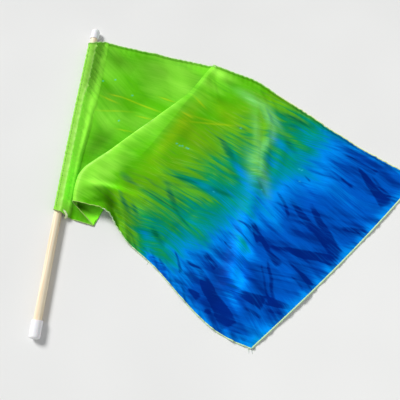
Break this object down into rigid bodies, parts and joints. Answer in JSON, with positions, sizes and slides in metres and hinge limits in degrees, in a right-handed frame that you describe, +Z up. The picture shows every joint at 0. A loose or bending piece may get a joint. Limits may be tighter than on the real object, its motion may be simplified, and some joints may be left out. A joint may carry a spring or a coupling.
{
  "type": "silk flag on a wooden dowel",
  "caption": "Hand-dyed silk flag with a pole sleeve, gathered on a capped wooden dowel and lying loose on a flat surface with one long fold.",
  "frame": {"origin": "on the surface that the flag lies on, under the middle of the whole part's box", "axes": "+Z up from the surface, +Y along the pole towards its domed top cap, +X from the pole towards the fly edge"},
  "size_m": [0.6372, 0.604, 0.0304],
  "materials": {
    "silk": "light habotai silk, hand-dyed in streaks from lime at the pole to blue and navy at the fly",
    "stick_wood": "pale bare wood, fine straight grain",
    "cap_plastic": "off-white moulded cap, soft satin"
  },
  "bodies": {
    "root": {"flag": "silk", "dowel": "stick_wood", "cap_top": "cap_plastic", "cap_bottom": "cap_plastic"}
  },
  "joints": []
}
